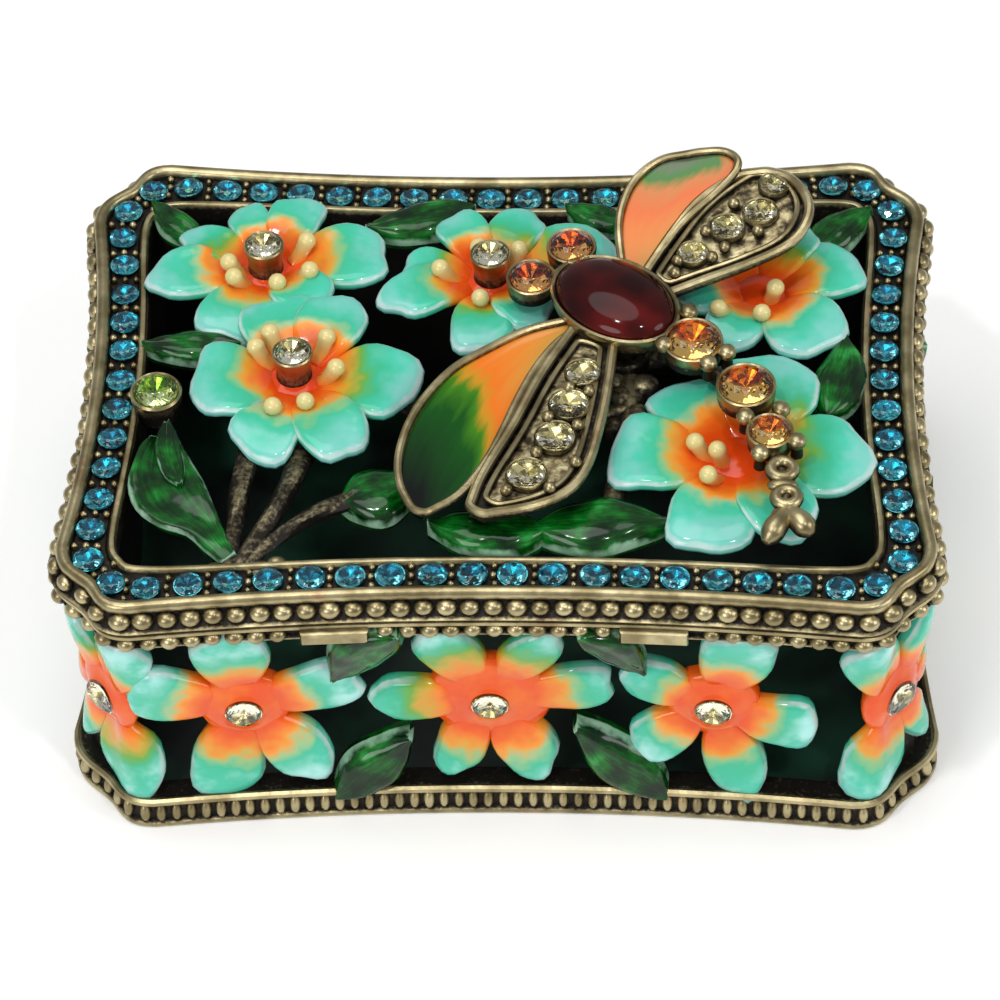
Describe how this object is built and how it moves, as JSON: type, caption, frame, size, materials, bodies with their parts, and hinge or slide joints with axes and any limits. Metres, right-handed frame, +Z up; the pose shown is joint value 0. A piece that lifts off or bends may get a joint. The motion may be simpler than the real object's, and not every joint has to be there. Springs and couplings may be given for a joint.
{
  "type": "enamel trinket box",
  "caption": "Small rectangular cast trinket box with pierced walls and lid of enamelled flowers and leaves, set stones and a jewelled dragonfly on the lid.",
  "frame": {"origin": "centre of the flat underside, on the surface that the box stands on", "axes": "+X along the length, to the right as seen from the front, +Y from the front to the back, +Z up"},
  "size_m": [0.0692, 0.0492, 0.0338],
  "materials": {
    "antique_brass": "cast and plated antique brass with dark patina in the hollows, partly covered in enamel",
    "enamel": "glossy turquoise, orange and green enamel, shaded and with pale edges",
    "blue_crystal": "cut and foiled aqua crystal",
    "clear_crystal": "cut and foiled pale champagne crystal",
    "amber_crystal": "cut amber crystal",
    "brown_crystal": "cut topaz brown crystal",
    "green_crystal": "cut peridot green crystal",
    "garnet_enamel": "domed glossy dark red enamel"
  },
  "bodies": {
    "root": {"box_body": "antique_brass", "lid": "antique_brass", "dragonfly": "antique_brass", "dragonfly_cabochon": "garnet_enamel", "dragonfly_eye_left": "brown_crystal", "dragonfly_eye_right": "brown_crystal", "tail_stone_first": "amber_crystal", "tail_stone_second": "amber_crystal", "tail_stone_third": "amber_crystal", "lid_stone_back_left": "clear_crystal", "lid_stone_front_left": "clear_crystal", "lid_stone_back_middle": "clear_crystal", "near_crystal_stone_1": "clear_crystal", "near_crystal_stone_2": "clear_crystal", "near_crystal_stone_3": "clear_crystal", "near_crystal_stone_4": "clear_crystal", "far_crystal_stone_1": "clear_crystal", "far_crystal_stone_2": "clear_crystal", "far_crystal_stone_3": "clear_crystal", "far_crystal_stone_4": "clear_crystal", "wall_stone_01": "clear_crystal", "wall_stone_02": "clear_crystal", "wall_stone_03": "clear_crystal", "wall_stone_04": "clear_crystal", "wall_stone_05": "clear_crystal", "wall_stone_06": "clear_crystal", "wall_stone_07": "clear_crystal", "wall_stone_08": "clear_crystal", "wall_stone_09": "clear_crystal", "wall_stone_10": "clear_crystal", "wall_stone_11": "clear_crystal", "wall_stone_12": "clear_crystal", "peridot_stone": "green_crystal"}
  },
  "joints": []
}
